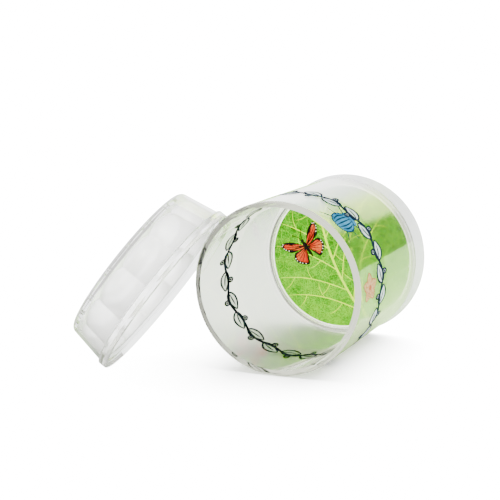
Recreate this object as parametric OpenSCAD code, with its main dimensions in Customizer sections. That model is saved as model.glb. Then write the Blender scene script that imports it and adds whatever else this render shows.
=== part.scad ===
// Bug catcher jar: a clear moulded jar lying on its side, its mouth towards -Y,
// with its clear lid taken off and leaning on the jar's left side.
// The origin is the centre of the mouth. The jar runs along +Y and +Z is up.
// Sizes are in millimetres and angles in degrees.

/* [Jar] */
// Outer diameter of the jar at its mouth
rim_d = 76; // [60:1:100]
// Thickness of the jar's side wall
wall_t = 2.6; // [1.8:0.1:3.6]
// Depth from the mouth to the top of the floor
floor_depth = 79; // [60:1:110]
// Thickness of the clear floor
floor_t = 2; // [1.4:0.1:3]
// How much smaller the outer radius is at the shoulder, for the mould's draft
wall_draft = 0.9; // [0.3:0.1:1.8]
// Length of the straight stretch of bore inside the mouth
mouth_land = 6; // [3:0.5:12]
// Radius of the rounded outer edge of the rim
rim_round = 1; // [0.4:0.1:1.6]
// Radius of the fillet between the wall and the floor
floor_fillet = 1.6; // [0.6:0.1:3]

/* [Base cap] */
// Length of the cap from the jar's shoulder to the foot
cap_len = 12.3; // [9:0.1:20]
// Thickness of the cap's side wall at the shoulder
cap_wall = 1.8; // [1.2:0.1:2.4]
// Thickness of the cap's end plate
cap_plate = 1.8; // [1.2:0.1:3]
// Depth of the recess that leaves the foot ring standing
foot_recess = 2; // [1:0.1:3]
// Width of the foot ring's wall
foot_ring_w = 3; // [2.2:0.1:6]
// Radius of the rounded outer edge of the foot
foot_round = 1.2; // [0.4:0.1:2]
// Length of the jar's spigot inside the cap
spigot_len = 4; // [2:0.5:6]
// Wall of the jar's spigot
spigot_wall = 1.4; // [1:0.1:2]
// Gap all round between the cap and the spigot
cap_gap = 0.1; // [0.05:0.05:0.3]

/* [Leaf card] */
// Thickness of the printed card behind the floor
card_t = 0.5; // [0.3:0.1:0.9]
// Gap all round between the card and the spigot
card_gap = 0.3; // [0.1:0.1:1]

/* [Wall prints] */
// Thickness of the printed film on the outside of the wall
film_t = 0.12; // [0.08:0.02:0.3]
// Depth from the mouth to the middle of the border
border_depth = 29.5; // [29:0.5:36]
// Width of the border
border_w = 15; // [8:0.5:16]
// Depth from the mouth to the middle of the two small motifs
motif_depth = 13; // [10:0.5:13.5]
// Length of the beetle motif
beetle_len = 16; // [10:0.5:17]
// Diameter of the blossom motif
blossom_d = 13; // [8:0.5:15]

/* [Lid] */
// Height of the lid from its open end to its closed face
lid_h = 22.2; // [19:0.1:32]
// Gap all round between the socket in the rim bead and the jar's rim
socket_gap = 0.3; // [0.2:0.05:0.5]
// Thickness of the rim bead round the socket
bead_wall = 3.9; // [3.2:0.1:5.5]
// Height of the rim bead
bead_h = 4; // [3.4:0.1:7]
// Radius of the rounded outer edges of the rim bead
bead_round = 0.6; // [0.3:0.1:0.8]
// How far the rim bead stands out from the skirt
bead_step = 1.1; // [0.4:0.1:1.8]
// Size of the lead-in chamfer at the mouth of the socket
lead_in = 2; // [1:0.1:2.4]
// Thickness of the skirt
skirt_wall = 1.6; // [1.2:0.1:2]
// How much smaller the outer radius is at the closed face than at the bead
skirt_flare = 2.8; // [1:0.1:4]
// Thickness of the closed face
lid_plate = 3.2; // [2:0.1:4]
// Radius of the rounded edge of the closed face
lid_round = 2.4; // [1:0.1:3]
// Diameter of the magnifying bulge under the closed face
lens_d = 36; // [24:1:42]
// Height of the magnifying bulge
lens_rise = 2; // [1:0.1:3]
// Diameter of each air hole
air_hole_d = 2.2; // [1.4:0.1:3]
// Diameter of the ring of air holes
air_ring_d = 48; // [46:1:52]
// Number of air holes
air_holes = 12; // [6:1:20]

/* [Flute ring] */
// Distance from one flute to the next round the crest
flute_pitch = 20.6; // [18:0.2:24]
// How far the cusps between the flutes stand in from the crests
flute_relief = 3.4; // [2.6:0.1:4]
// Radius of the rounded top edge that closes each flute over
flute_round = 5; // [3:0.2:6]
// Turn of the ring in the lid
flute_turn = 14; // [0:1:30]
// Wall of the flutes
flute_wall = 1.2; // [0.9:0.1:1.3]
// Gap between the flutes and the skirt and closed face
flute_gap = 0.1; // [0.05:0.05:0.3]
// Width of the wall that joins the flutes at their cusps
flute_web = 0.4; // [0.3:0.1:1]

/* [Lid at rest] */
// Slope of the lid's axis above the floor
lean_angle = 36.4; // [30:0.2:45]
// Turn of the lid about the vertical
lean_turn = 8.7; // [0:0.1:14]
// How far the lid's middle lies ahead of the mouth
lean_ahead = 4.5; // [0:0.5:12]
// Gap between the leaning lid and the jar
lean_gap = 0.2; // [0.1:0.05:1]

/* [Hidden] */
$fn = 96;
over = 1;

// Jar, worked out from the sizes above
rim_r = rim_d / 2;
bore_r = rim_r - wall_t;
floor_under = floor_depth + floor_t;
shoulder = floor_under + card_t + card_gap;
shoulder_r = rim_r - wall_draft;
draft_share = wall_draft / (shoulder - rim_round);
floor_r = wall_r(floor_depth) - wall_t;
cap_bore_r = shoulder_r - cap_wall;
spigot_r = cap_bore_r - cap_gap;
spigot_bore_r = spigot_r - spigot_wall;
foot_end = shoulder + cap_len;
foot_ring_r = rim_r - foot_ring_w;
card_r = spigot_bore_r - card_gap;

// Lid, worked out from the sizes above
socket_r = rim_r + socket_gap;
bead_r = socket_r + bead_wall;
skirt_r = bead_r - bead_step;
top_r = skirt_r - skirt_flare;
skirt_bore_r = skirt_r - skirt_wall;
skirt_tilt = atan2(skirt_flare, lid_h - bead_h);
plate_under = lid_h - lid_plate;
plate_bore_r = skirt_bore_r - (plate_under - bead_h) * tan(skirt_tilt);
lens_sphere_r = (lens_d * lens_d / 4 + lens_rise * lens_rise) / (2 * lens_rise);
lens_steps = 12;

// Flutes: barrels with rounded tops whose crests follow the inside of the skirt
crest_r = skirt_bore_r - flute_gap;
flutes = round(2 * PI * crest_r / flute_pitch);
half_turn = 180 / flutes;
cusp_r = crest_r - flute_relief;
cusp_in = crest_r - cusp_r * cos(half_turn);
barrel_r = (cusp_in * cusp_in + pow(cusp_r * sin(half_turn), 2)) / (2 * cusp_in);
dome_base = plate_under - flute_gap - flute_round;
dome_axis_r = flute_axis(dome_base);
flute_core_r = flute_side(barrel_r - flute_wall, dome_base, half_turn) - flute_web;
flute_columns = 12;
dome_rows = 4;

// Place of the leaning lid: its bead rests on the floor and its open edge meets the jar
edge_r = socket_r + lead_in;
turn_share = [cos(lean_turn), sin(lean_angle) * sin(lean_turn)];
touch = atan2(turn_share[1], turn_share[0])
    + acos((lean_ahead + rim_round) / (edge_r * norm(turn_share)));
lid_z = (bead_r - bead_round) * cos(lean_angle) + bead_round * (1 - sin(lean_angle)) - rim_r;
touch_z = lid_z + edge_r * sin(touch) * cos(lean_angle);
touch_x = -sqrt((rim_r + lean_gap) * (rim_r + lean_gap) - touch_z * touch_z);
lid_x = touch_x
    - edge_r * (sin(touch) * sin(lean_angle) * cos(lean_turn) - cos(touch) * sin(lean_turn));

// Small motifs: turned about the jar's axis, from +X towards +Z
beetle_turn = 49;
blossom_turn = 2;
beetle_w = beetle_len * 0.52;
leg_w = beetle_len * 0.06;
petals = 5;

// Points on a round arc from one direction to another, about a centre
function arc(centre, r, from, to, steps = 8) =
    [for (i = [0:steps]) centre + r * [cos(from + (to - from) * i / steps), sin(from + (to - from) * i / steps)]];

// Distance of the flutes' axes from the lid's axis, at a height above the open end
function flute_axis(height) = crest_r - barrel_r - (height - bead_h) * tan(skirt_tilt);

// Radius of one side of a flute's straight wall at a height and at a turn from the flute's middle
function flute_side(r, height, turn) =
    let (axis = flute_axis(height))
    axis * cos(turn) + sqrt(r * r - pow(axis * sin(turn), 2));

// Rise of one side's rounded top over its straight wall, at a reach from the lid's axis
function flute_rise(r, round_r, reach, turn) =
    let (flat_r = r - round_r)
    let (from_axis = norm([reach - dome_axis_r * cos(turn), dome_axis_r * sin(turn)]))
    sqrt(max(0, round_r * round_r - pow(max(0, from_axis - flat_r), 2)));

// Points up one side of the wall at one column: the straight wall, then the rounded top
function flute_column(inset, turn, place) =
    let (r = barrel_r - inset)
    let (foot = flute_side(r, bead_h, turn))
    let (base = flute_side(r, dome_base, turn))
    let (reaches = [for (i = [0:dome_rows]) base + (flute_core_r - base) * (1 - cos(90 * i / dome_rows))])
    let (rises = [for (reach = reaches) flute_rise(r, flute_round - inset, reach, turn)])
    concat(
        [[foot * cos(place), foot * sin(place), bead_h]],
        [for (i = [0:dome_rows]) [reaches[i] * cos(place), reaches[i] * sin(place), dome_base + rises[i]]]
    );

// Radius of the outside of the wall at a depth below the mouth
function wall_r(depth) = rim_r - draft_share * (depth - rim_round);

// A list the other way round
function reverse(list) = [for (i = [len(list) - 1:-1:0]) list[i]];

// Stands a shape that was drawn along +Z on the jar's axis, with +Z into the jar
module along_jar() {
    rotate([-90, 0, 0]) children();
}

// Puts a shape drawn with the lid's open end at the origin where the lid leans
module at_lid() {
    translate([lid_x, -lean_ahead, lid_z])
        rotate([0, lean_angle - 90, lean_turn]) children();
}

// The clear jar: side wall, floor, and the spigot that takes the base cap
module jar_body() {
    profile = concat(
        [[bore_r, 0]],
        arc([rim_r - rim_round, rim_round], rim_round, -90, 0),
        [
            [shoulder_r, shoulder],
            [spigot_r, shoulder],
            [spigot_r, shoulder + spigot_len],
            [spigot_bore_r, shoulder + spigot_len],
            [spigot_bore_r, floor_under],
            [0, floor_under],
            [0, floor_depth]
        ],
        arc([floor_r - floor_fillet, floor_depth - floor_fillet], floor_fillet, 90, 0),
        [[bore_r, mouth_land]]
    );
    color([0.86, 0.9, 0.88, 0.4])
        along_jar() rotate_extrude() polygon(profile);
}

// The milky cap behind the floor, whose foot ring the jar stands on
module base_cap() {
    plate_top = foot_end - foot_recess - cap_plate;
    profile = concat(
        [[cap_bore_r, shoulder], [shoulder_r, shoulder]],
        arc([rim_r - foot_round, foot_end - foot_round], foot_round, 0, 90),
        [
            [foot_ring_r, foot_end],
            [foot_ring_r, foot_end - foot_recess],
            [0, foot_end - foot_recess],
            [0, plate_top],
            [cap_bore_r, plate_top]
        ]
    );
    color([0.92, 0.93, 0.94, 0.7])
        along_jar() rotate_extrude() polygon(profile);
}

// The printed card that shows through the clear floor
module leaf_card() {
    color([0.45, 0.72, 0.2])
        along_jar() translate([0, 0, floor_under]) cylinder(r = card_r, h = card_t);
}

// A film on the outside of the wall between two depths
module wall_film(top, bottom) {
    along_jar() rotate_extrude() polygon([
        [wall_r(top), top],
        [wall_r(top) + film_t, top],
        [wall_r(bottom) + film_t, bottom],
        [wall_r(bottom), bottom]
    ]);
}

// Keeps the part of a film under a flat outline, which is centred on a turn and a depth
module wall_motif(turn, depth, reach) {
    intersection() {
        wall_film(depth - reach, depth + reach);
        rotate([0, -turn, 0])
            translate([0, depth, 0])
            rotate([90, 0, 90])
            linear_extrude(height = rim_r + over) children();
    }
}

// The border printed round the wall
module border_print() {
    color([0.12, 0.2, 0.36])
        wall_film(border_depth - border_w / 2, border_depth + border_w / 2);
}

// Flat outline of a beetle that crawls down the jar
module beetle_outline() {
    body_r = beetle_w / 2;
    stretch = beetle_len / 2 - body_r;
    hull() {
        translate([0, -stretch / 2]) circle(r = body_r, $fn = 32);
        translate([0, stretch / 2]) circle(r = body_r, $fn = 32);
    }
    translate([0, stretch / 2 + body_r]) circle(r = body_r / 2, $fn = 32);
    for (side = [-1, 1])
        for (row = [-1, 0, 1])
            translate([0, row * stretch])
                rotate([0, 0, 90 - side * (90 - 22 * row)])
                translate([0, -leg_w / 2])
                square([beetle_w * 0.95, leg_w]);
}

// The blue beetle printed on the wall
module beetle_print() {
    color([0.25, 0.5, 0.78])
        wall_motif(beetle_turn, motif_depth, beetle_len * 0.6)
        rotate([0, 0, -90]) beetle_outline();
}

// Flat outline of a blossom
module blossom_outline() {
    petal_r = blossom_d * 0.2;
    circle(r = petal_r, $fn = 32);
    for (i = [0:petals - 1])
        rotate([0, 0, i * 360 / petals])
            translate([blossom_d / 2 - petal_r, 0]) circle(r = petal_r, $fn = 32);
}

// The pale orange blossom printed on the wall
module blossom_print() {
    color([0.95, 0.66, 0.48])
        wall_motif(blossom_turn, motif_depth, blossom_d * 0.6)
        blossom_outline();
}

// The clear lid: closed face with its magnifying bulge, flared skirt and rim bead
module lid_shell() {
    lens_half = asin(lens_d / 2 / lens_sphere_r);
    profile = concat(
        [[edge_r, 0]],
        arc([bead_r - bead_round, bead_round], bead_round, -90, 0),
        arc([bead_r - bead_round, bead_h - bead_round], bead_round, 0, 90),
        [[skirt_r, bead_h]],
        arc([top_r - lid_round, lid_h - lid_round], lid_round, skirt_tilt, 90),
        [[0, lid_h]],
        arc([0, plate_under - lens_rise + lens_sphere_r], lens_sphere_r, -90, lens_half - 90, lens_steps),
        [
            [plate_bore_r, plate_under],
            [skirt_bore_r, bead_h],
            [socket_r, bead_h],
            [socket_r, lead_in]
        ]
    );
    color([0.9, 0.92, 0.93, 0.4])
        at_lid() difference() {
            rotate_extrude() polygon(profile);
            for (i = [0:air_holes - 1])
                rotate([0, 0, i * 360 / air_holes])
                    translate([air_ring_d / 2, 0, plate_under - over])
                    cylinder(d = air_hole_d, h = lid_plate + 2 * over, $fn = 24);
        }
}

// The fluted ring inside the lid: one scalloped wall with domed tops, which the jar's rim meets
module flute_ring() {
    columns = flutes * flute_columns;
    rows = dome_rows + 2;
    loop = 2 * rows;
    points = [
        for (c = [0:columns - 1])
            let (turn = half_turn * (2 * (c % flute_columns) / flute_columns - 1))
            let (place = half_turn * 2 * c / flute_columns)
            each concat(
                flute_column(0, turn, place),
                reverse(flute_column(flute_wall, turn, place))
            )
    ];
    faces = [
        for (c = [0:columns - 1])
            for (k = [0:loop - 1])
                let (here = c * loop, next = (c + 1) % columns * loop, up = (k + 1) % loop)
                each [[here + k, here + up, next + up], [here + k, next + up, next + k]]
    ];
    color([0.95, 0.95, 0.96, 0.8])
        at_lid() rotate([0, 0, flute_turn]) polyhedron(points, faces);
}

jar_body();
base_cap();
leaf_card();
border_print();
beetle_print();
blossom_print();
lid_shell();
flute_ring();
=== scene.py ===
"""Looks for the clear bug catcher jar that lies on its side with its lid leaning on it.

Lengths are in metres, in the row frame: the origin is the centre of the mouth, the jar runs
along +Y, +Z is up, and the lid leans on the -X side.
"""

import math
import random

import bmesh
import bpy
from mathutils import Matrix, Vector


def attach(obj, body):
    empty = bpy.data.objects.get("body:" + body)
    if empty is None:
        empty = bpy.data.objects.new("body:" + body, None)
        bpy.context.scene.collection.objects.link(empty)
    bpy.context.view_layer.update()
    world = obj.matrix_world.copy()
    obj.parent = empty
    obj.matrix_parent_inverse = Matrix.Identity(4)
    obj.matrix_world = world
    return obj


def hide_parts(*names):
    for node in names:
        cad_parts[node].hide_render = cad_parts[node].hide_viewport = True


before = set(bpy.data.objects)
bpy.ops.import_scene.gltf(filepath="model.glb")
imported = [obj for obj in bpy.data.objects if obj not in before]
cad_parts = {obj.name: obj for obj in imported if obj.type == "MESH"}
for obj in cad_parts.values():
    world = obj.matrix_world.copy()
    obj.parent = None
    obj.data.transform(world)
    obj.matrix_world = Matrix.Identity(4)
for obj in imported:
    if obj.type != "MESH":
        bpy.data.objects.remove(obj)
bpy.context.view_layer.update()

MM = 0.001

# Jar
RIM_R = 38 * MM
RIM_ROUND = 1 * MM
WALL_DRAFT = 0.9 * MM
SHOULDER = 81.8 * MM
FLOOR_UNDER = 81 * MM
FLOOR_TOP = 79 * MM

# Leaf card: the lifts are over its printed front
CARD_R = 33.5 * MM
CARD_T = 0.5 * MM
CARD_BACK_SET = 0.12 * MM
CARD_SPOKES = 128
LEAF_R = CARD_R - 0.7 * MM
LEAF_LIFT = (0.005 * MM, 0.03 * MM)
VEIN_LIFT = (0.028 * MM, 0.05 * MM)
VEIN_LIMIT_R = LEAF_R - 0.2 * MM
MIDRIB_ENDS = ((14 * MM, -29 * MM), (-12 * MM, 30 * MM))
MIDRIB_STEPS = 48
MIDRIB_LINE = 1.05 * MM
VEIN_LENGTH = 46 * MM
VEIN_LINE = 0.44 * MM
TWIG_LINE = 0.24 * MM

# Butterfly on the leaf: its wings' outlines are in millimetres, times its scale
BUTTERFLY_PLACE = Vector((-16.5, 4)) * MM
BUTTERFLY_TURN = math.radians(128)
BUTTERFLY_SCALE = 1.02
EDGE_LIFT = (0.04 * MM, 0.055 * MM)
WING_LIFT = (0.05 * MM, 0.07 * MM)
WING_LINE_LIFT = (0.07 * MM, 0.09 * MM)
WING_SPOT_LIFT = (0.09 * MM, 0.1 * MM)
FOREWING = (
    (0.6, 0.5), (3.2, 2.4), (5.9, 5.2), (7.6, 8.6), (7.2, 10.4),
    (5.2, 10.3), (3.4, 9.2), (1.7, 7.9), (0.7, 5.0), (0.1, 2.2),
)
HINDWING = (
    (-0.2, 0.6), (0.2, 3.2), (0.6, 6.2), (-0.6, 8.0), (-2.8, 8.4),
    (-4.9, 7.3), (-6.6, 5.4), (-7.4, 3.4), (-5.6, 2.3), (-2.6, 1.0),
)

# Wall prints: the lifts are over the outside of the wall
INK_LOW = 0.012 * MM
FILL_LIFT = (INK_LOW, 0.03 * MM)
BEETLE_LINE_LIFT = (0.03 * MM, 0.045 * MM)
BLOSSOM_LINE_LIFT = (0.03 * MM, 0.06 * MM)
VINE_LINE_LIFT = (INK_LOW, 0.06 * MM)
VINE_TINT_LIFT = (0.018 * MM, 0.034 * MM)
VINE_PRESSED = -0.03 * MM
PRESSED_SIDE = math.radians(210)

# Vine border
BORDER_DEPTH = 29.5 * MM
BORDER_STRETCH = 2.1
BORDER_HALF = 7.5 * MM
VINE_WAVES = 12
VINE_SWING = 0.85 * MM
STEM_STEPS = 40
STEM_LINE = 1.1 * MM
VINE_LEAF_LENGTH = 9 * MM
VINE_LEAF_WIDTH = 4 * MM
VINE_LEAF_TURN = math.radians(17)
VINE_LEAF_CURL = 0.3
VINE_LEAF_LINE = 0.8 * MM
VINE_LEAF_RIB_LINE = 0.6 * MM
BERRY_RISE = 2.15 * MM
BERRY_R = 1.05 * MM
BERRY_DOT_R = 0.5 * MM
BERRY_LINE = 0.75 * MM

# Beetle and blossom: their sizes are in their own millimetres, times their scale
BEETLE_TURN = math.radians(49)
BEETLE_DEPTH = 17 * MM
BEETLE_SCALE = 2.0
BLOSSOM_TURN = math.radians(2)
BLOSSOM_DEPTH = 13 * MM
BLOSSOM_SCALE = 1.3
BLOSSOM_STRETCH = 1.4
PETALS = 5

# Lid
LID_PLACE = Vector((-49.1708, -4.5, -4.2725)) * MM
LEAN_ANGLE = math.radians(36.4)
LEAN_TURN = math.radians(8.7)
LID_H = 22.2 * MM
BEAD_H = 4 * MM
LID_PLATE = 3.2 * MM
SKIRT_BORE_R = 39.5 * MM
SKIRT_FLARE = 2.8 * MM

# Flutes
FLUTES = 12
FLUTE_RELIEF = 3.4 * MM
FLUTE_ROUND = 5 * MM
FLUTE_TURN = math.radians(14)
FLUTE_WALL = 1.2 * MM
FLUTE_GAP = 0.1 * MM
FLUTE_WEB = 0.4 * MM
FLUTE_COLUMNS = 32
DOME_ROWS = 14

# Where light goes through the jar unmirrored: the wall's inside at the border, and the floor
INNER_FACE_R = RIM_R - 1.4 * MM
BORDER_FADE = 3 * MM
FLOOR_FACE = FLOOR_TOP - 0.2 * MM
FLOOR_FADE = (32 * MM, 33.3 * MM)
STEEP_FACING = 0.24
UNMIRRORED_ROUGHNESS = 0.03

# Light trapped in a clear wall, where the painted glow takes over: a mirroring counts for more than a plain
# turn
MIRROR_TURNS = 3
LAST_TURN = 11.5

# Studio: the floor's size and place, and the levels and colours of the white
FLOOR_REACH = 9.0
FLOOR_DROP = 0.02 * MM
FLOOR_WHITE = (0.86, 0.86, 0.865)
FLOOR_PAINTED_MIRROR_GREEN = (0.64, 0.9, 0.45)
FLOOR_SEEN = 1.3
FLOOR_THROUGH = 0.8
FLOOR_SHINE = (0.06, 0.6)
STUDIO_WHITE = (0.98, 0.99, 1.0)
STUDIO_LEAFY = (1.25, 1.55, 0.55)
STUDIO_LIGHT = 3.0
STUDIO_LOW = 0.6 * STUDIO_LIGHT
FRONT_LIGHT = 9.0
SEEN_WHITE = 17.0
THROUGH_WHITE = 4.4
THROUGH_LOW = 0.8
SHINE_EDGE = 2.8
SHINE_HIGH = 5.0
SHINE_LOW = 0.15

# Lamps
SKY_POWER = 55.0
SKY_ANGLE = math.radians(80)
SKY_PLACE = Vector((0.06, 0.5, 1.0))
FRONT_RIGHT = Vector((0.6, -0.9, 0.8))
LOW_RIGHT = Vector((1.1, -0.4, 0.3))
SOFTBOX_BOUNCES = 12

# Camera
CAMERA_PLACE = (0.2464, -0.6196, 0.1392)
CAMERA_AHEAD = Vector((-0.3786, 0.9079, -0.1801))
CAMERA_RIGHT = Vector((0.923, 0.3849, 0))
CAMERA_LENS = 115.2
CAMERA_SENSOR = 36
CAMERA_CLIP = (0.02, 60)


# Mesh helpers


def make_piece(name, bm, material, body, smooth=True):
    """Turns a finished bmesh into a piece that rides on a body of the part."""
    bmesh.ops.remove_doubles(bm, verts=bm.verts, dist=1e-7)
    bmesh.ops.dissolve_degenerate(bm, edges=bm.edges, dist=1e-7)
    bmesh.ops.recalc_face_normals(bm, faces=bm.faces)
    mesh = bpy.data.meshes.new(name)
    bm.to_mesh(mesh)
    bm.free()
    for face in mesh.polygons:
        face.use_smooth = smooth
    piece = bpy.data.objects.new(name, mesh)
    bpy.context.scene.collection.objects.link(piece)
    mesh.materials.append(material)
    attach(piece, body)
    return piece


def add_slab(bm, rows, lay, lifts, closed=False):
    """Adds a thin closed slab: rows of flat points, laid on a surface between two lifts."""
    bottom, top = [[[bm.verts.new(lay(a, b, lift)) for a, b in row] for row in rows] for lift in lifts]
    count, across = len(rows), len(rows[0])
    for i in range(count if closed else count - 1):
        j = (i + 1) % count
        for k in range(across - 1):
            bm.faces.new((top[i][k], top[j][k], top[j][k + 1], top[i][k + 1]))
            bm.faces.new((bottom[i][k], bottom[i][k + 1], bottom[j][k + 1], bottom[j][k]))
        for k in (0, across - 1):
            bm.faces.new((bottom[i][k], bottom[j][k], top[j][k], top[i][k]))
    if not closed:
        for i in (0, count - 1):
            for k in range(across - 1):
                bm.faces.new((bottom[i][k], top[i][k], top[i][k + 1], bottom[i][k + 1]))


def add_disc(bm, lay, lifts, centre, r_long, r_wide, rings, spokes):
    """Adds a thin filled ellipse, whose length runs along the first axis."""
    add_slab(bm, disc_rows(centre, r_long, r_wide, 0, rings, spokes), lay, lifts, closed=True)


def evenly(low, high, steps):
    """Numbers at even steps from one to another."""
    return [low + (high - low) * i / steps for i in range(steps + 1)]


def turned(a, b, turn):
    """A flat point turned about the origin."""
    return a * math.cos(turn) - b * math.sin(turn), a * math.sin(turn) + b * math.cos(turn)


def line_row(place, before, after, half):
    """The two sides of a drawn line at one of its points."""
    a, b = place
    along = Vector((after[0] - before[0], after[1] - before[1])).normalized()
    return [(a - along.y * half, b + along.x * half), (a + along.y * half, b - along.x * half)]


def stroke(points, width, taper=(1, 1)):
    """Rows of a drawn line of a given width, which tapers over the third of it at each end."""
    rows = []
    last = len(points) - 1
    for i, place in enumerate(points):
        share = i / last
        start = taper[0] + (1 - taper[0]) * min(1, share * 3)
        end = taper[1] + (1 - taper[1]) * min(1, (1 - share) * 3)
        before, after = points[max(0, i - 1)], points[min(last, i + 1)]
        rows.append(line_row(place, before, after, width / 2 * min(start, end)))
    return rows


def ring_stroke(points, width):
    """Rows of a drawn line round a closed set of flat points."""
    count = len(points)
    return [
        line_row(place, points[i - 1], points[(i + 1) % count], width / 2)
        for i, place in enumerate(points)
    ]


def disc_rows(centre, r_long, r_wide, turn, rings, spokes):
    """Rows of a filled ellipse, as rings from the middle out."""
    rows = []
    for i in range(spokes):
        angle = 2 * math.pi * i / spokes
        a, b = turned(r_long * math.cos(angle), r_wide * math.sin(angle), turn)
        rows.append([(centre[0] + a * k / rings, centre[1] + b * k / rings) for k in range(rings + 1)])
    return rows


def ring_points(centre, r_long, r_wide, spokes):
    """Flat points round an ellipse."""
    return [row[-1] for row in disc_rows(centre, r_long, r_wide, 0, 1, spokes)]


def curve_points(start, end, bow, steps):
    """Flat points along a bowed line between two points."""
    start = Vector(start)
    run = Vector(end) - start
    side = Vector((-run.y, run.x))
    return [
        tuple(start + run * share + side * bow * math.sin(math.pi * share))
        for share in evenly(0, 1, steps)
    ]


def smooth_outline(points, steps=5):
    """A closed curve through flat points."""
    curve = []
    count = len(points)
    for i in range(count):
        p0, p1, p2, p3 = (Vector(points[(i + k - 1) % count]) for k in range(4))
        slope = p2 - p0
        bend = 2 * p0 - 5 * p1 + 4 * p2 - p3
        twist = 3 * p1 - p0 - 3 * p2 + p3
        for k in range(steps):
            t = k / steps
            curve.append(0.5 * (2 * p1 + slope * t + bend * t**2 + twist * t**3))
    return curve


def middle_of(outline):
    """The middle of a flat outline's points."""
    return sum(outline, Vector((0, 0))) / len(outline)


def outline_rows(outline, rings=3):
    """Rows of a filled outline, from its middle out."""
    middle = middle_of(outline)
    return [[tuple(middle + (p - middle) * k / rings) for k in range(rings + 1)] for p in outline]


def leaf_half_width(share, widest=0.42):
    """How wide a pointed leaf is at a share of its length, as a share of its widest."""
    bend = math.log(0.5) / math.log(widest)
    return math.sin(math.pi * share**bend) ** 0.85


def leaf_edge(base, length, width, turn, steps, curl=0.0):
    """The two edges and the midrib of a pointed leaf that starts at a flat point."""
    left, right, middle = [], [], []
    for i, share in enumerate(evenly(0, 1, steps)):
        heading = turn + curl * share
        a = base[0] + length * share * math.cos(turn + curl * share / 2)
        b = base[1] + length * share * math.sin(turn + curl * share / 2)
        half = width / 2 * leaf_half_width(share) if 0 < i < steps else 0
        side = (-math.sin(heading) * half, math.cos(heading) * half)
        left.append((a + side[0], b + side[1]))
        right.append((a - side[0], b - side[1]))
        middle.append((a, b))
    return left, right, middle


def fill_between(left, right, columns):
    """Rows of a filled shape between two edges."""
    return [
        [(p[0] + (q[0] - p[0]) * share, p[1] + (q[1] - p[1]) * share) for share in evenly(0, 1, columns)]
        for p, q in zip(left, right)
    ]


# Surfaces that drawings are laid on


def wall_r(depth):
    """Radius of the outside of the jar's wall at a depth below the mouth."""
    return RIM_R - WALL_DRAFT * (depth - RIM_ROUND) / (SHOULDER - RIM_ROUND)


def on_wall(run, depth, lift):
    """A point laid on the jar's wall: its run round the jar from +X, its depth, its lift."""
    turn = run / RIM_R
    r = wall_r(depth) + lift
    return (r * math.cos(turn), depth, r * math.sin(turn))


def on_border(run, across, lift):
    """Lays the vine on the wall, stretched along the jar, its lines pressed in on the jar's left."""
    if lift == INK_LOW:
        pressed = 0.5 + 1.5 * math.cos(run / RIM_R - PRESSED_SIDE)
        lift += (VINE_PRESSED - INK_LOW) * min(1, max(0, pressed))
    return on_wall(run, BORDER_DEPTH + BORDER_STRETCH * across, lift)


def on_motif(turn, depth, heading, scale, stretch=1):
    """Lays a small drawing, whose length runs along its first axis, on the wall."""

    def lay(a, b, lift):
        run, down = turned(a * scale, b * scale, heading)
        return on_wall(turn * RIM_R + run, depth + stretch * down, lift)

    return lay


def on_card(across, up, lift):
    """A point laid on the printed front of the leaf card."""
    return (across, FLOOR_UNDER + CARD_BACK_SET - lift, up)


def lid_matrix():
    """Takes a point from the lid's own axis, with its open end at zero, to the row frame."""
    return (
        Matrix.Translation(LID_PLACE)
        @ Matrix.Rotation(LEAN_TURN, 4, "Z")
        @ Matrix.Rotation(LEAN_ANGLE - math.pi / 2, 4, "Y")
    )


# Node helpers


def feed(tree, socket, value):
    """Links an input to another node's output, or gives it a plain value."""
    if isinstance(value, bpy.types.NodeSocket):
        tree.links.new(value, socket)
    else:
        socket.default_value = value


def add_node(tree, kind, **settings):
    """A node with its settings and its plain input values."""
    node = tree.nodes.new(kind)
    for key, value in settings.items():
        if key in node.inputs:
            node.inputs[key].default_value = value
        else:
            setattr(node, key, value)
    return node


def calc(tree, operation, *values):
    """A sum or comparison of outputs and plain numbers."""
    node = add_node(tree, "ShaderNodeMath", operation=operation)
    for socket, value in zip(node.inputs, values):
        feed(tree, socket, value)
    return node.outputs["Value"]


def value_range(tree, source, across, values, smooth=False):
    """A value that runs from one level to another over a range of a source."""
    node = tree.nodes.new("ShaderNodeMapRange")
    if smooth:
        node.interpolation_type = "SMOOTHSTEP"
    node.inputs["From Min"].default_value, node.inputs["From Max"].default_value = across
    node.inputs["To Min"].default_value, node.inputs["To Max"].default_value = values
    tree.links.new(source, node.inputs["Value"])
    return node.outputs["Result"]


def choose(tree, flag, yes, no):
    """One of two values, by a flag that is nought or one."""
    node = add_node(tree, "ShaderNodeMix", data_type="FLOAT")
    tree.links.new(flag, node.inputs[0])
    feed(tree, node.inputs[2], no)
    feed(tree, node.inputs[3], yes)
    return node.outputs[0]


def mix_colour(tree, share, first, second, blend="MIX"):
    """Two colours mixed, added or multiplied by a share."""
    node = add_node(tree, "ShaderNodeMixRGB", blend_type=blend)
    for label, value in (("Fac", share), ("Color1", first), ("Color2", second)):
        feed(tree, node.inputs[label], value)
    return node.outputs["Color"]


def mix_surfaces(tree, share, first, second):
    """One shader that turns into another by a share."""
    node = tree.nodes.new("ShaderNodeMixShader")
    for socket, source in zip(node.inputs, (share, first, second)):
        tree.links.new(source, socket)
    return node.outputs["Shader"]


def ramp(tree, source, stops):
    """A colour ramp over a mask."""
    node = tree.nodes.new("ShaderNodeValToRGB")
    elements = node.color_ramp.elements
    while len(elements) < len(stops):
        elements.new(0.5)
    for element, (place, colour) in zip(elements, stops):
        element.position = place
        element.color = (*colour, 1)
    tree.links.new(source, node.inputs["Fac"])
    return node.outputs["Color"]


def coordinates(tree, kind="Object"):
    """The place of a point in the piece's own axes, or its direction in the studio."""
    return tree.nodes.new("ShaderNodeTexCoord").outputs[kind]


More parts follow.
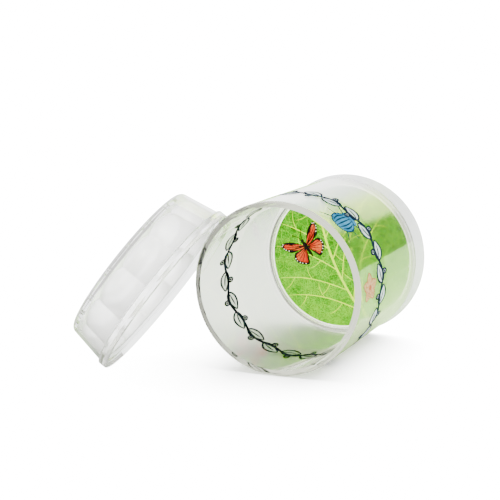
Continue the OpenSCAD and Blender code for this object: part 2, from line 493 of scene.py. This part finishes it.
def along_axes(tree, place):
    """The three parts of a place or direction."""
    split = tree.nodes.new("ShaderNodeSeparateXYZ")
    tree.links.new(place, split.inputs["Vector"])
    return split.outputs


def noise(tree, place, scale, **settings):
    """A cloudy pattern, as a mask and a colour."""
    node = add_node(tree, "ShaderNodeTexNoise", **settings)
    tree.links.new(place, node.inputs["Vector"])
    feed(tree, node.inputs["Scale"], scale)
    return node.outputs


def light_path(tree):
    """What kind of ray meets the surface, and how many turns it has taken."""
    return tree.nodes.new("ShaderNodeLightPath").outputs


# Shader groups


def new_group(name, inputs, outputs):
    """An empty shader group with named sockets."""
    group = bpy.data.node_groups.new(name, "ShaderNodeTree")
    for label, value in inputs:
        socket = group.interface.new_socket(label, in_out="INPUT", socket_type="NodeSocketFloat")
        socket.default_value = value
    for label in outputs:
        group.interface.new_socket(label, in_out="OUTPUT", socket_type="NodeSocketFloat")
    return group, group.nodes.new("NodeGroupInput").outputs, group.nodes.new("NodeGroupOutput").inputs


def moulding_group():
    """Soft flow marks and fine pits of moulded plastic, as a mask and a height."""
    scales = [("Flow Scale", 40.0), ("Pit Scale", 900.0)]
    group, given, made = new_group("moulded_flow", scales, ["Mask", "Height"])
    place = coordinates(group)
    flow = noise(group, place, given["Flow Scale"], Detail=4.0, Roughness=0.55, Distortion=0.6)
    pits = noise(group, place, given["Pit Scale"], Detail=2.0, Roughness=0.5)
    group.links.new(flow["Fac"], made["Mask"])
    group.links.new(calc(group, "MULTIPLY_ADD", pits["Fac"], 0.25, flow["Fac"]), made["Height"])
    return group


def ink_group():
    """The uneven coverage of screen-printed ink, as a mask."""
    group, given, made = new_group("printed_ink", [("Grain Scale", 2500.0)], ["Mask"])
    place = coordinates(group)
    cloud = noise(group, place, 160.0, Detail=3.0)
    grain = noise(group, place, given["Grain Scale"], Detail=1.0)
    both = calc(group, "MULTIPLY", cloud["Fac"], grain["Fac"])
    group.links.new(value_range(group, both, (0.12, 0.4), (0, 1)), made["Mask"])
    return group


MOULDED_FLOW = moulding_group()
PRINTED_INK = ink_group()


# Materials


def start_material(name, **plain):
    """A material with one Principled shader and its plain values."""
    material = bpy.data.materials.new(name)
    material.use_nodes = True
    shader = material.node_tree.nodes["Principled BSDF"]
    for key, value in plain.items():
        shader.inputs[key.replace("_", " ")].default_value = value
    return material, material.node_tree, shader


def add_group(tree, group, **values):
    """A placed copy of a shader group with its own values."""
    node = add_node(tree, "ShaderNodeGroup", node_tree=group)
    for key, value in values.items():
        node.inputs[key.replace("_", " ")].default_value = value
    return node.outputs


def pass_inside(tree, surface, tint, ior):
    """Lets light through the wall's inside at the border, and through the floor, unmirrored."""
    x, y, z = along_axes(tree, coordinates(tree))
    from_border = calc(tree, "ABSOLUTE", calc(tree, "SUBTRACT", y, BORDER_DEPTH))
    band = value_range(tree, from_border, (BORDER_HALF, BORDER_HALF + BORDER_FADE), (1, 0), smooth=True)
    from_axis = calc(tree, "SQRT", calc(tree, "MULTIPLY_ADD", x, x, calc(tree, "POWER", z, 2)))
    band = calc(tree, "MULTIPLY", band, calc(tree, "LESS_THAN", from_axis, INNER_FACE_R))
    within = value_range(tree, from_axis, FLOOR_FADE, (1, 0), smooth=True)
    floor = calc(tree, "MULTIPLY", calc(tree, "GREATER_THAN", y, FLOOR_FACE), within)
    steep = calc(tree, "LESS_THAN", tree.nodes.new("ShaderNodeLayerWeight").outputs["Facing"], STEEP_FACING)
    from_air = calc(tree, "SUBTRACT", 1, tree.nodes.new("ShaderNodeNewGeometry").outputs["Backfacing"])
    passes = calc(tree, "MAXIMUM", steep, from_air)
    share = calc(tree, "MULTIPLY", passes, calc(tree, "MAXIMUM", band, floor))
    clear = add_node(tree, "ShaderNodeBsdfRefraction", Roughness=UNMIRRORED_ROUGHNESS, IOR=ior)
    tree.links.new(tint, clear.inputs["Color"])
    return mix_surfaces(tree, share, surface, clear.outputs["BSDF"])


def paint_trapped_glow(tree, surface, colour, strength, painted_shade_left_share):
    """Paints a glow where light is trapped in a clear wall: an emission in the wall's pale colour, in place
    of black, which a left share under one dims towards the -X side as painted shade.
    """
    path = light_path(tree)
    turns = calc(tree, "MULTIPLY_ADD", path["Glossy Depth"], MIRROR_TURNS, path["Ray Depth"])
    late = calc(tree, "GREATER_THAN", turns, LAST_TURN)
    painted_glow = add_node(tree, "ShaderNodeEmission", Color=(*colour, 1), Strength=strength)
    # Painted shade: the glow is dimmer towards the -X side of the piece.
    if painted_shade_left_share < 1:
        x = along_axes(tree, coordinates(tree))["X"]
        painted_light_fade = value_range(tree, x, (-RIM_R, -RIM_R / 4), (strength * painted_shade_left_share, strength))
        tree.links.new(painted_light_fade, painted_glow.inputs["Strength"])
    return mix_surfaces(tree, late, surface, painted_glow.outputs["Emission"])


def plastic(name, tints, rough, flow_scale, relief, painted_glow=None, unmirrored=False, **plain):
    """A moulded plastic whose tint and polish drift a little over the surface, and which can carry a
    painted glow where light is trapped in it.
    """
    material, tree, shader = start_material(name, **plain)
    flow = add_group(tree, MOULDED_FLOW, Flow_Scale=flow_scale)
    tint = ramp(tree, flow["Mask"], [(0.3, tints[0]), (0.7, tints[1])])
    tree.links.new(tint, shader.inputs["Base Color"])
    tree.links.new(value_range(tree, flow["Mask"], (0, 1), rough), shader.inputs["Roughness"])
    bump = add_node(tree, "ShaderNodeBump", Strength=0.25, Distance=relief)
    tree.links.new(flow["Height"], bump.inputs["Height"])
    tree.links.new(bump.outputs["Normal"], shader.inputs["Normal"])
    surface = shader.outputs["BSDF"]
    if unmirrored:
        surface = pass_inside(tree, surface, tint, plain["IOR"])
    # Painted glow: an emission, though the plastic is no lamp, for light trapped in the wall.
    if painted_glow:
        surface = paint_trapped_glow(tree, surface, *painted_glow)
        material.cycles.emission_sampling = "NONE"
    tree.links.new(surface, tree.nodes["Material Output"].inputs["Surface"])
    return material


def ink(name, *stops, **plain):
    """A printed ink whose colour and dullness vary in a fine grain."""
    material, tree, shader = start_material(name, Specular_IOR_Level=0.0, **plain)
    grain = add_group(tree, PRINTED_INK)
    tree.links.new(ramp(tree, grain["Mask"], stops), shader.inputs["Base Color"])
    tree.links.new(value_range(tree, grain["Mask"], (0, 1), (0.4, 0.6)), shader.inputs["Roughness"])
    return material


LEAF_GREENS = [(0.36, (0.006, 0.09, 0.0005)), (0.5, (0.03, 0.19, 0.001)), (0.64, (0.085, 0.28, 0.002))]
NET_GREEN = (0.13, 0.34, 0.003, 1)
NETS = ((260.0, 0.75), (900.0, 0.55))


def leaf_ground_material():
    """The printed leaf: mottled green, with painted light that makes it paler below, between nets of fine
    veins, with specks.
    """
    material, tree, shader = start_material("leaf_print", Roughness=0.45, Specular_IOR_Level=0.0)
    place = coordinates(tree)
    warp = noise(tree, place, 60.0, Detail=2.0)
    warped = mix_colour(tree, 0.004, place, warp["Color"], "ADD")
    mottle = noise(tree, place, 110.0, Detail=5.0, Roughness=0.65)
    # Painted light: the leaf's green runs paler towards the card's bottom.
    painted_light_fade = value_range(tree, along_axes(tree, place)["Z"], (-CARD_R, CARD_R), (0.14, -0.06))
    colour = ramp(tree, calc(tree, "ADD", mottle["Fac"], painted_light_fade), LEAF_GREENS)
    for scale, strength in NETS:
        net = add_node(tree, "ShaderNodeTexVoronoi", feature="DISTANCE_TO_EDGE", Scale=scale)
        tree.links.new(warped, net.inputs["Vector"])
        line = value_range(tree, net.outputs["Distance"], (0, 0.09), (strength, 0))
        colour = mix_colour(tree, line, colour, NET_GREEN)
    speck = noise(tree, place, 2000.0, Detail=1.0)
    speckle = value_range(tree, speck["Fac"], (0.3, 0.7), (0.35, 1.6))
    tree.links.new(mix_colour(tree, 1, colour, speckle, "MULTIPLY"), shader.inputs["Base Color"])
    return material


CLEAR_JAR = plastic(
    "clear_jar",
    tints=((0.91, 0.93, 0.82), (0.935, 0.945, 0.86)),
    rough=(0.015, 0.05),
    flow_scale=45.0,
    relief=0.04 * MM,
    # Painted glow: its colour, its strength, and the share of it kept on the jar's left, as painted shade.
    painted_glow=((0.98, 1.0, 0.86), 1.7, 0.25),
    unmirrored=True,
    Transmission_Weight=1.0,
    IOR=1.5,
)
MILKY_CAP = plastic(
    "milky_cap",
    tints=((0.94, 0.945, 0.955), (0.965, 0.968, 0.975)),
    rough=(0.2, 0.3),
    flow_scale=60.0,
    relief=0.05 * MM,
    Transmission_Weight=0.65,
    IOR=1.45,
)
CLEAR_LID = plastic(
    "clear_lid",
    tints=((0.985, 0.985, 0.983), (0.995, 0.995, 0.995)),
    rough=(0.02, 0.06),
    flow_scale=50.0,
    relief=0.04 * MM,
    # Painted glow: its colour and strength; a left share of one gives no painted shade.
    painted_glow=((1.0, 0.99, 0.97), 1.4, 1),
    Transmission_Weight=1.0,
    IOR=1.5,
)
FLUTE_PLASTIC = plastic(
    "flute_plastic",
    tints=((0.97, 0.965, 0.96), (0.985, 0.982, 0.98)),
    rough=(0.14, 0.22),
    flow_scale=70.0,
    relief=0.04 * MM,
    # Painted glow: its colour and strength; a left share of one gives no painted shade.
    painted_glow=((1.0, 0.985, 0.97), 4.0, 1),
    Transmission_Weight=0.65,
    IOR=1.45,
)
LEAF_PRINT = leaf_ground_material()
CARD_STOCK = ink("card_stock", (0.2, (0.86, 0.87, 0.84)), (0.8, (0.93, 0.93, 0.91)))
VEIN_INK = ink("vein_ink", (0.1, (0.4, 0.62, 0.0)), (0.9, (0.56, 0.72, 0.001)))
BORDER_INK = ink(
    "border_ink",
    (0.1, (0.005, 0.007, 0.016)),
    (0.6, (0.006, 0.014, 0.024)),
    (0.95, (0.008, 0.026, 0.034)),
)
BORDER_TINT = ink("border_tint", (0.1, (0.78, 0.9, 0.93)), (0.9, (0.86, 0.93, 0.97)), Alpha=0.35)
BEETLE_INK = ink("beetle_ink", (0.1, (0.012, 0.11, 0.21)), (0.9, (0.06, 0.25, 0.38)))
BEETLE_LINE_INK = ink("beetle_line_ink", (0.1, (0.002, 0.014, 0.028)), (0.9, (0.005, 0.035, 0.06)))
BLOSSOM_INK = ink("blossom_ink", (0.1, (0.62, 0.3, 0.15)), (0.9, (0.74, 0.42, 0.24)), Alpha=0.45)
BLOSSOM_HEART_INK = ink("blossom_heart_ink", (0.1, (0.22, 0.06, 0.025)), (0.9, (0.32, 0.1, 0.045)))
WING_INK = ink(
    "wing_ink",
    (0.1, (0.34, 0.02, 0.007)),
    (0.6, (0.42, 0.042, 0.014)),
    (0.95, (0.48, 0.1, 0.022)),
)
SPOT_INK = ink("spot_ink", (0.1, (0.8, 0.76, 0.6)), (0.9, (0.9, 0.88, 0.78)))
DARK_INK = ink("dark_ink", (0.1, (0.002, 0.002, 0.0025)), (0.9, (0.008, 0.006, 0.006)))


# Jar, cap and lid: the solids that stay


def dress_solids():
    """Gives the solids that stay their plastics, and shades them smooth."""
    for node, material in (("jar_body", CLEAR_JAR), ("base_cap", MILKY_CAP), ("lid_shell", CLEAR_LID)):
        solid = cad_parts[node]
        solid.data.materials.clear()
        solid.data.materials.append(material)
        for face in solid.data.polygons:
            face.use_smooth = True


# Leaf card


def make_card():
    """The card itself: an unprinted disc with a printed leaf inside a thin white margin."""
    bm = bmesh.new()
    add_disc(bm, on_card, (-CARD_T, 0), (0, 0), CARD_R, CARD_R, 3, CARD_SPOKES)
    card = make_piece("card_stock", bm, CARD_STOCK, "jar", smooth=False)
    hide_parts("leaf_card")
    bm = bmesh.new()
    add_disc(bm, on_card, LEAF_LIFT, (0, 0), LEAF_R, LEAF_R, 3, CARD_SPOKES)
    make_piece("leaf_ground", bm, LEAF_PRINT, "jar", smooth=False)


def inside_print(points):
    """The first stretch of a line that lies inside the printed leaf."""
    kept = []
    for point in points:
        if math.hypot(*point) > VEIN_LIMIT_R:
            break
        kept.append(point)
    return kept


def side_branch(points, i, turn):
    """Where a side vein leaves a line at one of its points, and the direction that it takes."""
    root = Vector(points[i])
    along = (Vector(points[i + 1]) - Vector(points[i - 1])).normalized()
    return root, Vector(turned(along.x, along.y, turn))


def make_twigs(bm, vein):
    """Short twigs that leave a side vein by turns."""
    spacing = 9
    for k in range(spacing, len(vein) - 6, spacing):
        root = Vector(vein[k])
        heading = (Vector(vein[k + 1]) - root).normalized()
        side = 1 if (k // spacing) % 2 else -1
        turn = side * math.radians(58 + random.uniform(-8, 8))
        reach = Vector(turned(heading.x, heading.y, turn)) * random.uniform(6, 9) * MM
        twig = inside_print(curve_points(root, root + reach, 0.08, 12))
        if len(twig) > 4:
            add_slab(bm, stroke(twig, TWIG_LINE, taper=(1, 0.3)), on_card, VEIN_LIFT)


def make_veins():
    """The leaf's midrib and the side veins that leave it by turns."""
    random.seed(11)
    bm = bmesh.new()
    midrib = curve_points(*MIDRIB_ENDS, 0.07, MIDRIB_STEPS)
    add_slab(bm, stroke(midrib, MIDRIB_LINE, taper=(1, 0.4)), on_card, VEIN_LIFT)
    spacing = 4
    for i in range(spacing, MIDRIB_STEPS - spacing, spacing):
        side = 1 if (i // spacing) % 2 else -1
        base, out = side_branch(midrib, i, side * math.radians(52 + random.uniform(-5, 5)))
        vein = inside_print(curve_points(base, base + out * VEIN_LENGTH, -side * 0.09, 46))
        if len(vein) < 6:
            continue
        add_slab(bm, stroke(vein, VEIN_LINE, taper=(1, 0.3)), on_card, VEIN_LIFT)
        make_twigs(bm, vein)
    make_piece("leaf_veins", bm, VEIN_INK, "jar", smooth=False)


def on_butterfly(a, b):
    """A point of the butterfly, whose head lies along its first axis, on the flat leaf."""
    scale = BUTTERFLY_SCALE * MM
    return BUTTERFLY_PLACE + Vector(turned(a * scale, b * scale, BUTTERFLY_TURN))


def draw_wing(orange, dark, pale, wing, side, margin):
    """One wing: a dark edge that widens outwards, orange inside it, lines, and pale spots in the edge."""
    outline = smooth_outline([on_butterfly(a, b * side) for a, b in wing])
    middle = middle_of(outline)
    root = on_butterfly(wing[0][0], wing[0][1] * side)
    add_slab(dark, outline_rows(outline), on_card, EDGE_LIFT, closed=True)
    inner = []
    for p in outline:
        far = min(1, (p - root).length / (8 * MM))
        inner.append(p + (middle - p).normalized() * (0.25 + margin * far) * MM)
    add_slab(orange, outline_rows(inner), on_card, WING_LIFT, closed=True)
    for share in (0.3, 0.42, 0.54, 0.66):
        line = curve_points(root, inner[int(share * len(inner))], 0.03 * side, 8)
        add_slab(dark, stroke(line, 0.3 * MM, taper=(1, 0.6)), on_card, WING_LINE_LIFT)
    for share in (0.34, 0.41, 0.48, 0.55, 0.62):
        p = outline[int(share * len(outline))]
        spot = p + (middle - p).normalized() * 0.62 * MM
        add_disc(pale, on_card, WING_SPOT_LIFT, spot, 0.24 * MM, 0.24 * MM, 1, 10)


def make_butterfly():
    """The orange butterfly printed on the leaf."""
    orange, dark, pale = bmesh.new(), bmesh.new(), bmesh.new()
    for side in (1, -1):
        draw_wing(orange, dark, pale, FOREWING, side, 1.25)
        draw_wing(orange, dark, pale, HINDWING, side, 1.0)
        feeler = [on_butterfly(3.6 + 4.2 * t, side * (0.3 + 2.2 * t * t)) for t in evenly(0, 1, 10)]
        add_slab(dark, stroke(feeler, 0.32 * MM, taper=(1, 0.8)), on_card, WING_LINE_LIFT)
        add_disc(dark, on_card, WING_LINE_LIFT, feeler[-1], 0.4 * MM, 0.4 * MM, 1, 12)
    for along, half_long, half_wide in ((-2.4, 3.3, 0.7), (1.0, 1.9, 1.0), (3.2, 0.85, 0.8)):
        rows = disc_rows(on_butterfly(along, 0), half_long * MM, half_wide * MM, BUTTERFLY_TURN, 2, 20)
        add_slab(dark, rows, on_card, WING_LINE_LIFT, closed=True)
    make_piece("butterfly_wings", orange, WING_INK, "jar", smooth=False)
    make_piece("butterfly_lines", dark, DARK_INK, "jar", smooth=False)
    make_piece("butterfly_spots", pale, SPOT_INK, "jar", smooth=False)


# Prints on the wall


def stem_point(run, half):
    """A point beside the vine's waving stem, half a line's width off it."""
    phase = VINE_WAVES * run / RIM_R
    tilt = math.atan(VINE_SWING * VINE_WAVES / RIM_R * math.cos(phase))
    return (run - math.sin(tilt) * half, VINE_SWING * math.sin(phase) + math.cos(tilt) * half)


def draw_berry(lines, tint, place):
    """A ringed berry with a dot in it."""
    edge = ring_points(place, BERRY_R, BERRY_R, 20)
    add_slab(lines, ring_stroke(edge, BERRY_LINE), on_border, VINE_LINE_LIFT, closed=True)
    add_disc(lines, on_border, VINE_LINE_LIFT, place, BERRY_DOT_R, BERRY_DOT_R, 1, 12)
    add_disc(tint, on_border, VINE_TINT_LIFT, place, BERRY_R, BERRY_R, 1, 20)


def make_vine():
    """The border round the wall: a waving stem with a leaf in each bend and berries over it."""
    lines, tint = bmesh.new(), bmesh.new()
    circle = 2 * math.pi * RIM_R
    runs = evenly(0, circle, VINE_WAVES * STEM_STEPS)[:-1]
    stem = [[stem_point(run, half) for half in (STEM_LINE / 2, -STEM_LINE / 2)] for run in runs]
    add_slab(lines, stem, on_border, VINE_LINE_LIFT, closed=True)
    for bend in range(2 * VINE_WAVES):
        side = -1 if bend % 2 else 1
        crest = circle / VINE_WAVES * (bend / 2 + 0.25)
        root = stem_point(crest - VINE_LEAF_LENGTH / 2, 0)
        turn, curl = -side * VINE_LEAF_TURN, side * VINE_LEAF_CURL
        left, right, middle = leaf_edge(root, VINE_LEAF_LENGTH, VINE_LEAF_WIDTH, turn, 20, curl)
        add_slab(tint, fill_between(left, right, 6), on_border, VINE_TINT_LIFT)
        for edge in (left, right):
            add_slab(lines, stroke(edge, VINE_LEAF_LINE, taper=(0.9, 0.7)), on_border, VINE_LINE_LIFT)
        rib = stroke(middle[3:-5], VINE_LEAF_RIB_LINE, taper=(0.6, 0.4))
        add_slab(lines, rib, on_border, VINE_LINE_LIFT)
        draw_berry(lines, tint, (crest, side * BERRY_RISE))
    piece = make_piece("vine_lines", lines, BORDER_INK, "jar")
    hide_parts("border_print")
    make_piece("vine_tint", tint, BORDER_TINT, "jar")


def make_beetle():
    """The blue beetle printed on the wall: a striped shell, a collar, a head and six legs."""
    lay = on_motif(BEETLE_TURN, BEETLE_DEPTH, math.radians(90), BEETLE_SCALE)
    shell, lines = bmesh.new(), bmesh.new()
    middle, half_long, half_wide = -1.1, 4.2, 2.8
    add_disc(shell, lay, FILL_LIFT, (middle * MM, 0), half_long * MM, half_wide * MM, 5, 32)
    add_disc(shell, lay, FILL_LIFT, (3.3 * MM, 0), 1.25 * MM, 2.0 * MM, 3, 24)
    for offset in (-1.9, -1.0, 0, 1.0, 1.9):
        reach = 4.0 * math.sqrt(1 - (offset / half_wide) ** 2)
        stripe = [
            ((middle + reach * t) * MM, offset * (1 - 0.25 * t * t) * MM) for t in evenly(-1, 1, 14)
        ]
        add_slab(lines, stroke(stripe, 0.34 * MM, taper=(0.5, 0.5)), lay, BEETLE_LINE_LIFT)
    edge = ring_points((middle * MM, 0), half_long * MM, half_wide * MM, 40)
    add_slab(lines, ring_stroke(edge, 0.3 * MM), lay, BEETLE_LINE_LIFT, closed=True)
    add_disc(lines, lay, BEETLE_LINE_LIFT, (4.8 * MM, 0), 0.75 * MM, 1.0 * MM, 2, 16)
    for side in (1, -1):
        for root, reach, lean, hook in ((-2.8, 4.6, -0.5, -0.5), (-0.4, 4.9, 0, 0.5), (2.4, 4.6, 0.6, 0.5)):
            leg = [
                ((root + lean * reach * t + hook * t * t) * MM, side * (1.6 + (reach - 1.6) * t) * MM)
                for t in evenly(0, 1, 8)
            ]
            add_slab(lines, stroke(leg, 0.42 * MM, taper=(1, 0.5)), lay, FILL_LIFT)
    piece = make_piece("beetle_shell", shell, BEETLE_INK, "jar")
    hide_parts("beetle_print")
    make_piece("beetle_lines", lines, BEETLE_LINE_INK, "jar")


def make_blossom():
    """The pale orange blossom printed on the wall."""
    lay = on_motif(BLOSSOM_TURN, BLOSSOM_DEPTH, 0, BLOSSOM_SCALE, BLOSSOM_STRETCH)
    petals, heart = bmesh.new(), bmesh.new()
    for i in range(PETALS):
        turn = 2 * math.pi * i / PETALS
        left, right, middle = leaf_edge(turned(0.5 * MM, 0, turn), 4.5 * MM, 3.5 * MM, turn, 14)
        add_slab(petals, fill_between(left, right, 4), lay, FILL_LIFT)
        add_slab(heart, stroke(middle[3:11], 0.28 * MM, taper=(1, 0.3)), lay, BLOSSOM_LINE_LIFT)
        for edge in (left, right):
            add_slab(heart, stroke(edge[3:], 0.26 * MM, taper=(0.3, 1)), lay, BLOSSOM_LINE_LIFT)
    add_disc(heart, lay, BLOSSOM_LINE_LIFT, (0, 0), 0.9 * MM, 0.9 * MM, 2, 20)
    piece = make_piece("blossom_petals", petals, BLOSSOM_INK, "jar")
    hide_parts("blossom_print")
    make_piece("blossom_heart", heart, BLOSSOM_HEART_INK, "jar")


# Flute ring


def make_flutes():
    """The lid's scalloped wall with rounded tops, from the same rule as the solid, but smoother."""
    tilt = SKIRT_FLARE / (LID_H - BEAD_H)
    half_turn = math.pi / FLUTES
    crest_r = SKIRT_BORE_R - FLUTE_GAP
    cusp_r = crest_r - FLUTE_RELIEF
    cusp_in = crest_r - cusp_r * math.cos(half_turn)
    barrel_r = (cusp_in**2 + (cusp_r * math.sin(half_turn)) ** 2) / (2 * cusp_in)
    dome_base = LID_H - LID_PLATE - FLUTE_GAP - FLUTE_ROUND

    def side_at(r, height, turn):
        axis = crest_r - barrel_r - (height - BEAD_H) * tilt
        return axis * math.cos(turn) + math.sqrt(r * r - (axis * math.sin(turn)) ** 2)

    core_r = side_at(barrel_r - FLUTE_WALL, dome_base, half_turn) - FLUTE_WEB
    dome_axis = crest_r - barrel_r - (dome_base - BEAD_H) * tilt

    def rise_at(r, round_r, reach, turn):
        from_axis = math.hypot(reach - dome_axis * math.cos(turn), dome_axis * math.sin(turn))
        return math.sqrt(max(0, round_r**2 - max(0, from_axis - (r - round_r)) ** 2))

    def column(inset, turn, place):
        r = barrel_r - inset
        base = side_at(r, dome_base, turn)
        spots = [(side_at(r, BEAD_H, turn), BEAD_H)]
        for share in evenly(0, 1, DOME_ROWS):
            reach = base + (core_r - base) * (1 - math.cos(math.pi / 2 * share))
            spots.append((reach, dome_base + rise_at(r, FLUTE_ROUND - inset, reach, turn)))
        return [(reach * math.cos(place), reach * math.sin(place), height) for reach, height in spots]

    bm = bmesh.new()
    to_row = lid_matrix() @ Matrix.Rotation(FLUTE_TURN, 4, "Z")
    columns = FLUTES * FLUTE_COLUMNS
    loops = []
    for c in range(columns):
        turn = half_turn * (2 * (c % FLUTE_COLUMNS) / FLUTE_COLUMNS - 1)
        place = half_turn * 2 * c / FLUTE_COLUMNS
        points = column(0, turn, place) + column(FLUTE_WALL, turn, place)[::-1]
        loops.append([bm.verts.new(to_row @ Vector(p)) for p in points])
    for c in range(columns):
        here, after = loops[c], loops[(c + 1) % columns]
        for k in range(len(here)):
            up = (k + 1) % len(here)
            bm.faces.new((here[k], here[up], after[up], after[k]))
    piece = make_piece("flute_wall", bm, FLUTE_PLASTIC, "lid")
    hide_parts("flute_ring")


# Floor, light and camera


def studio_level(tree, seen, through, lights, shines):
    """How strong a white of the studio is: seen straight, through glass, as light, or mirrored."""
    path = light_path(tree)
    scattered = calc(tree, "GREATER_THAN", path["Diffuse Depth"], 0.5)
    mirrored = calc(tree, "GREATER_THAN", path["Glossy Depth"], 0.5)
    level = choose(tree, path["Is Camera Ray"], seen, through)
    level = choose(tree, mirrored, shines, level)
    return choose(tree, scattered, lights, level)


def mirrored_tint(tree, plain, leafy, source, across):
    """The studio's plain colour, or where it is mirrored and over a range of a source, a leafy one."""
    mirrored = calc(tree, "GREATER_THAN", light_path(tree)["Glossy Depth"], 0.5)
    share = calc(tree, "MULTIPLY", mirrored, value_range(tree, source, across, (0, 1), smooth=True))
    return mix_colour(tree, share, (*plain, 1), (*leafy, 1))


def floor_material():
    """A pale matte white, with painted reflection: mirrors show it darker towards the front, and green
    towards the back.
    """
    material = bpy.data.materials.new("pale_floor")
    material.use_nodes = True
    tree = material.node_tree
    tree.nodes.remove(tree.nodes["Principled BSDF"])
    y = along_axes(tree, coordinates(tree))["Y"]
    # Painted reflection: mirrors show the floor darker in front of the mouth.
    shine = value_range(tree, y, (-0.1, 0.1), FLOOR_SHINE, smooth=True)
    tint = add_node(tree, "ShaderNodeVectorMath", operation="SCALE")
    # Painted reflection: mirrors show the floor green behind the plane of the mouth.
    tree.links.new(mirrored_tint(tree, FLOOR_WHITE, FLOOR_PAINTED_MIRROR_GREEN, y, (-0.05, 0.05)), tint.inputs[0])
    tree.links.new(studio_level(tree, FLOOR_SEEN, FLOOR_THROUGH, 1.0, shine), tint.inputs["Scale"])
    matte = tree.nodes.new("ShaderNodeBsdfDiffuse")
    tree.links.new(tint.outputs["Vector"], matte.inputs["Color"])
    tree.links.new(matte.outputs["BSDF"], tree.nodes["Material Output"].inputs["Surface"])
    return material


def make_floor():
    """A plain pale floor under the object."""
    bm = bmesh.new()
    height = -RIM_R - FLOOR_DROP
    corners = [(x * FLOOR_REACH, y * FLOOR_REACH, height) for x, y in ((-1, -1), (1, -1), (1, 1), (-1, 1))]
    bm.faces.new([bm.verts.new(corner) for corner in corners])
    mesh = bpy.data.meshes.new("floor")
    bm.to_mesh(mesh)
    bm.free()
    mesh.materials.append(floor_material())
    floor = bpy.data.objects.new("floor", mesh)
    bpy.context.scene.collection.objects.link(floor)
    return floor


def make_world():
    """Even studio light, more of it from before the mouth, and a bright window that mirrors show."""
    world = bpy.data.worlds.new("studio")
    bpy.context.scene.world = world
    world.use_nodes = True
    tree = world.node_tree
    backdrop = tree.nodes["Background"].inputs
    x, y, z = along_axes(tree, coordinates(tree, "Generated"))
    high = calc(tree, "MULTIPLY_ADD", z, 0.9, y)
    round_about = value_range(tree, high, (-0.9, 0.5), (STUDIO_LOW, STUDIO_LIGHT), smooth=True)
    front = value_range(tree, y, (-0.95, -0.75), (FRONT_LIGHT, 0), smooth=True)
    ahead = calc(tree, "MULTIPLY_ADD", x, -2.0, y)
    window = value_range(tree, ahead, (0.53, 0.66), (SHINE_LOW, SHINE_EDGE), smooth=True)
    beyond = value_range(tree, ahead, (0.6, 1.4), (0, SHINE_HIGH - SHINE_EDGE), smooth=True)
    through = value_range(tree, y, (-0.2, 0.65), (THROUGH_LOW, THROUGH_WHITE), smooth=True)
    lights, shines = calc(tree, "ADD", round_about, front), calc(tree, "ADD", window, beyond)
    tree.links.new(studio_level(tree, SEEN_WHITE, through, lights, shines), backdrop["Strength"])
    tree.links.new(mirrored_tint(tree, STUDIO_WHITE, STUDIO_LEAFY, x, (-0.2, 0.05)), backdrop["Color"])


def link_lamp(name, light, place, bounces, lit, shading):
    """Places a lamp that looks at the origin, lights only some pieces, and is shaded by only some."""
    light.cycles.max_bounces = bounces
    lamp = bpy.data.objects.new(name, light)
    lamp.location = place
    lamp.rotation_mode = "QUATERNION"
    lamp.rotation_quaternion = (-place).to_track_quat("-Z", "Y")
    bpy.context.scene.collection.objects.link(lamp)
    linked = []
    for use, pieces in (("lit", lit), ("shading", shading)):
        group = bpy.data.collections.new(f"{name}_{use}")
        for piece in pieces:
            group.objects.link(piece)
        linked.append(group)
    lamp.light_linking.receiver_collection, lamp.light_linking.blocker_collection = linked


def make_softbox(name, size, power, place, lit, shading):
    """A square softbox that also reaches pieces seen through glass."""
    light = bpy.data.lights.new(name, "AREA")
    light.shape = "SQUARE"
    light.size = size
    light.energy = power
    link_lamp(name, light, place, SOFTBOX_BOUNCES, lit, shading)


def make_lights(floor):
    """A broad sky for the floor that only the jar shades, and fill for the card and milky pieces."""
    jar, cap = (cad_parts[name] for name in ("jar_body", "base_cap"))
    sky = bpy.data.lights.new("soft_sky", "SUN")
    sky.energy = SKY_POWER
    sky.angle = SKY_ANGLE
    link_lamp("soft_sky", sky, SKY_PLACE, 0, [floor], [jar, cap])
    card_names = ("card_stock", "leaf_ground", "leaf_veins")
    wing_names = ("butterfly_wings", "butterfly_lines", "butterfly_spots")
    card = [bpy.data.objects[name] for name in card_names + wing_names]
    make_softbox("softbox_lid", 1.2, 85, FRONT_RIGHT, [bpy.data.objects["flute_wall"]], [floor])
    make_softbox("softbox_card", 1.0, 95, FRONT_RIGHT, card, [floor])
    make_softbox("softbox_cap", 1.0, 24, LOW_RIGHT, [cap], [floor])


def make_camera():
    """The camera at the photograph's viewing angle, with a long lens."""
    data = bpy.data.cameras.new("camera")
    data.sensor_width = CAMERA_SENSOR
    data.lens = CAMERA_LENS
    data.clip_start, data.clip_end = CAMERA_CLIP
    camera = bpy.data.objects.new("camera", data)
    ahead = CAMERA_AHEAD.normalized()
    right = (CAMERA_RIGHT - ahead * CAMERA_RIGHT.dot(ahead)).normalized()
    up = right.cross(ahead)
    turn = Matrix((right, up, -ahead)).transposed().to_4x4()
    camera.matrix_world = Matrix.Translation(CAMERA_PLACE) @ turn
    bpy.context.scene.collection.objects.link(camera)
    bpy.context.scene.camera = camera


dress_solids()
make_card()
make_veins()
make_butterfly()
make_vine()
make_beetle()
make_blossom()
make_flutes()
floor = make_floor()
make_world()
make_lights(floor)
make_camera()
